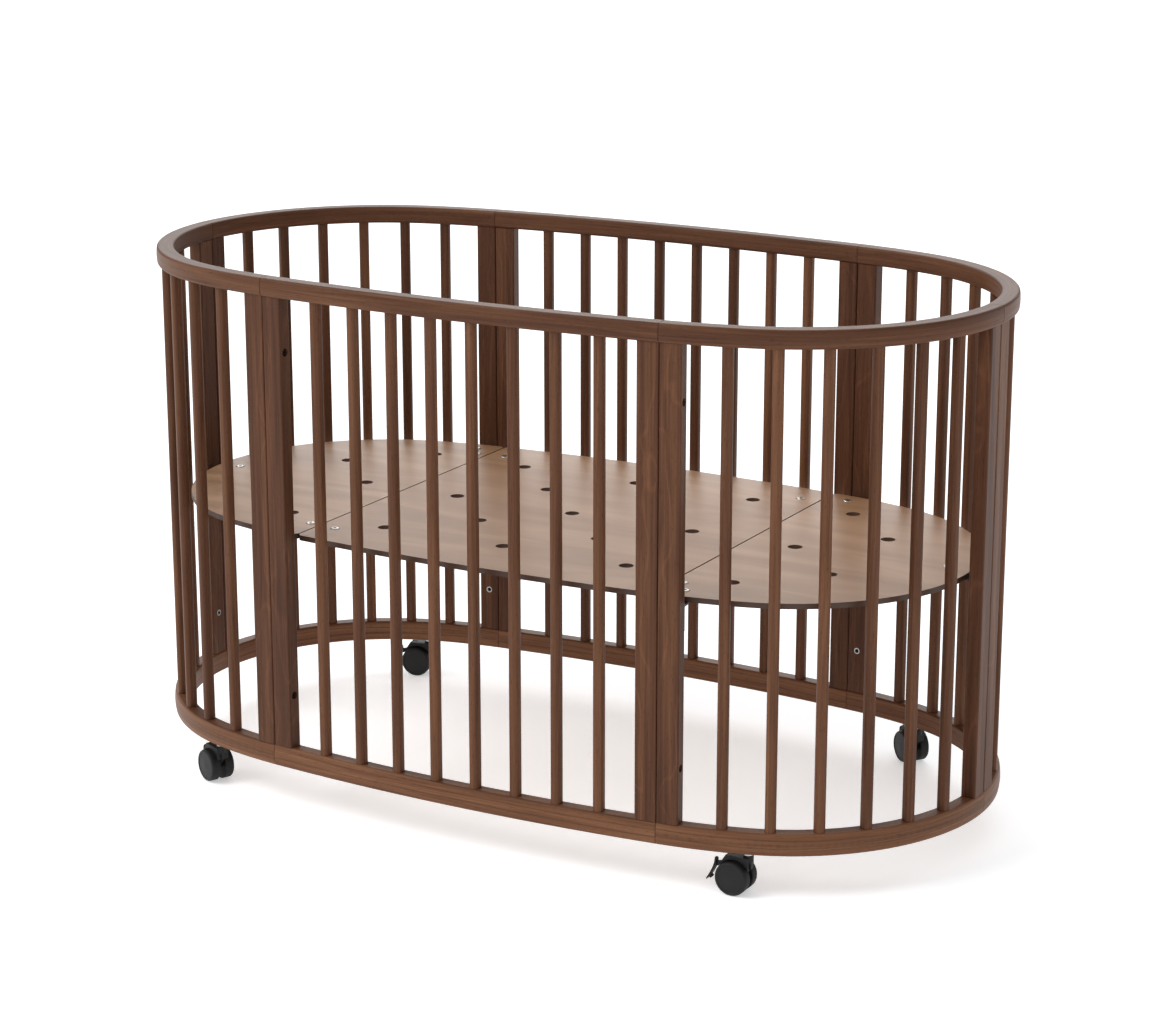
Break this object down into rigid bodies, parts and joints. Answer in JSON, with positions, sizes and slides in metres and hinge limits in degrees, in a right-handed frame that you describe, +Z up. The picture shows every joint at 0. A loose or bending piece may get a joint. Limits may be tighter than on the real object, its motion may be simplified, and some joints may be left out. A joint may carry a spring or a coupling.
{
  "type": "baby crib",
  "caption": "Oval slatted baby crib of stained beech on braked twin-wheel casters, with a bolted, height-adjustable perforated plywood mattress base.",
  "frame": {"origin": "on the floor, under the middle of the crib", "axes": "+X along the length, +Y across the width towards the back panel, +Z up"},
  "size_m": [1.375, 0.7174, 0.813],
  "materials": {
    "black_steel": "black oxide",
    "caster_body": "black moulded nylon",
    "caster_wheel": "black moulded nylon",
    "stained_beech": "satin walnut-brown stain, open beech grain",
    "stained_plywood": "satin walnut-brown stain on thin plywood, dark edge",
    "stem_steel": "plain zinc plate",
    "zinc_steel": "bright zinc plate"
  },
  "bodies": {
    "frame": {"back_bottom_rail": "stained_beech", "back_slats": "stained_beech", "back_stile_left": "stained_beech", "back_stile_right": "stained_beech", "back_top_rail": "stained_beech", "base_bolts": "zinc_steel", "base_left": "stained_plywood", "base_middle": "stained_plywood", "base_right": "stained_plywood", "bracket_screws": "zinc_steel", "caster_stems": "stem_steel", "corner_brackets": "black_steel", "end_brackets": "black_steel", "front_bottom_rail": "stained_beech", "front_slats": "stained_beech", "front_stile_left": "stained_beech", "front_stile_right": "stained_beech", "front_top_rail": "stained_beech", "left_back_bottom_rail": "stained_beech", "left_back_slats": "stained_beech", "left_back_stile_left": "stained_beech", "left_back_stile_right": "stained_beech", "left_back_top_rail": "stained_beech", "left_front_bottom_rail": "stained_beech", "left_front_slats": "stained_beech", "left_front_stile_left": "stained_beech", "left_front_stile_right": "stained_beech", "left_front_top_rail": "stained_beech", "panel_bolts": "black_steel", "right_back_bottom_rail": "stained_beech", "right_back_slats": "stained_beech", "right_back_stile_left": "stained_beech", "right_back_stile_right": "stained_beech", "right_back_top_rail": "stained_beech", "right_front_bottom_rail": "stained_beech", "right_front_slats": "stained_beech", "right_front_stile_left": "stained_beech", "right_front_stile_right": "stained_beech", "right_front_top_rail": "stained_beech", "threaded_inserts": "zinc_steel"},
    "front_left_swivel": {"front_left_caster_housing": "caster_body", "front_left_caster_axle": "stem_steel"},
    "front_left_left_wheel": {"front_left_caster_wheel_left": "caster_wheel"},
    "front_left_right_wheel": {"front_left_caster_wheel_right": "caster_wheel"},
    "front_left_brake": {"front_left_caster_brake_lever": "caster_body"},
    "front_right_swivel": {"front_right_caster_housing": "caster_body", "front_right_caster_axle": "stem_steel"},
    "front_right_left_wheel": {"front_right_caster_wheel_left": "caster_wheel"},
    "front_right_right_wheel": {"front_right_caster_wheel_right": "caster_wheel"},
    "front_right_brake": {"front_right_caster_brake_lever": "caster_body"},
    "back_left_swivel": {"back_left_caster_housing": "caster_body", "back_left_caster_axle": "stem_steel"},
    "back_left_left_wheel": {"back_left_caster_wheel_left": "caster_wheel"},
    "back_left_right_wheel": {"back_left_caster_wheel_right": "caster_wheel"},
    "back_left_brake": {"back_left_caster_brake_lever": "caster_body"},
    "back_right_swivel": {"back_right_caster_housing": "caster_body", "back_right_caster_axle": "stem_steel"},
    "back_right_left_wheel": {"back_right_caster_wheel_left": "caster_wheel"},
    "back_right_right_wheel": {"back_right_caster_wheel_right": "caster_wheel"},
    "back_right_brake": {"back_right_caster_brake_lever": "caster_body"}
  },
  "joints": [
    {"name": "front_left_swivel_turn", "type": "hinge", "parent": "frame", "child": "front_left_swivel", "pos_m": [-0.454, -0.30068, 0.05], "axis": [0, 0, 1], "continuous": true},
    {"name": "front_left_left_wheel_spin", "type": "hinge", "parent": "front_left_swivel", "child": "front_left_left_wheel", "pos_m": [-0.47122, -0.29265, 0.025], "axis": [0.4226, 0.9063, 0], "continuous": true},
    {"name": "front_left_right_wheel_spin", "type": "hinge", "parent": "front_left_swivel", "child": "front_left_right_wheel", "pos_m": [-0.47122, -0.29265, 0.025], "axis": [0.4226, 0.9063, 0], "continuous": true},
    {"name": "front_left_brake_press", "type": "hinge", "parent": "front_left_swivel", "child": "front_left_brake", "pos_m": [-0.48164, -0.28779, 0.0425], "axis": [-0.4226, -0.9063, 0], "range_deg": [0, 16]},
    {"name": "front_right_swivel_turn", "type": "hinge", "parent": "frame", "child": "front_right_swivel", "pos_m": [0.454, -0.30068, 0.05], "axis": [0, 0, 1], "continuous": true},
    {"name": "front_right_left_wheel_spin", "type": "hinge", "parent": "front_right_swivel", "child": "front_right_left_wheel", "pos_m": [0.435, -0.30068, 0.025], "axis": [0, 1, 0], "continuous": true},
    {"name": "front_right_right_wheel_spin", "type": "hinge", "parent": "front_right_swivel", "child": "front_right_right_wheel", "pos_m": [0.435, -0.30068, 0.025], "axis": [0, 1, 0], "continuous": true},
    {"name": "front_right_brake_press", "type": "hinge", "parent": "front_right_swivel", "child": "front_right_brake", "pos_m": [0.4235, -0.30068, 0.0425], "axis": [0, -1, 0], "range_deg": [0, 16]},
    {"name": "back_left_swivel_turn", "type": "hinge", "parent": "frame", "child": "back_left_swivel", "pos_m": [-0.454, 0.30068, 0.05], "axis": [0, 0, 1], "continuous": true},
    {"name": "back_left_left_wheel_spin", "type": "hinge", "parent": "back_left_swivel", "child": "back_left_left_wheel", "pos_m": [-0.47251, 0.2964, 0.025], "axis": [-0.225, 0.9744, 0], "continuous": true},
    {"name": "back_left_right_wheel_spin", "type": "hinge", "parent": "back_left_swivel", "child": "back_left_right_wheel", "pos_m": [-0.47251, 0.2964, 0.025], "axis": [-0.225, 0.9744, 0], "continuous": true},
    {"name": "back_left_brake_press", "type": "hinge", "parent": "back_left_swivel", "child": "back_left_brake", "pos_m": [-0.48372, 0.29382, 0.0425], "axis": [0.225, -0.9744, 0], "range_deg": [0, 16]},
    {"name": "back_right_swivel_turn", "type": "hinge", "parent": "frame", "child": "back_right_swivel", "pos_m": [0.454, 0.30068, 0.05], "axis": [0, 0, 1], "continuous": true},
    {"name": "back_right_left_wheel_spin", "type": "hinge", "parent": "back_right_swivel", "child": "back_right_left_wheel", "pos_m": [0.43903, 0.31238, 0.025], "axis": [0.6157, 0.788, 0], "continuous": true},
    {"name": "back_right_right_wheel_spin", "type": "hinge", "parent": "back_right_swivel", "child": "back_right_right_wheel", "pos_m": [0.43903, 0.31238, 0.025], "axis": [0.6157, 0.788, 0], "continuous": true},
    {"name": "back_right_brake_press", "type": "hinge", "parent": "back_right_swivel", "child": "back_right_brake", "pos_m": [0.42997, 0.31946, 0.0425], "axis": [-0.6157, -0.788, 0], "range_deg": [0, 16]}
  ]
}
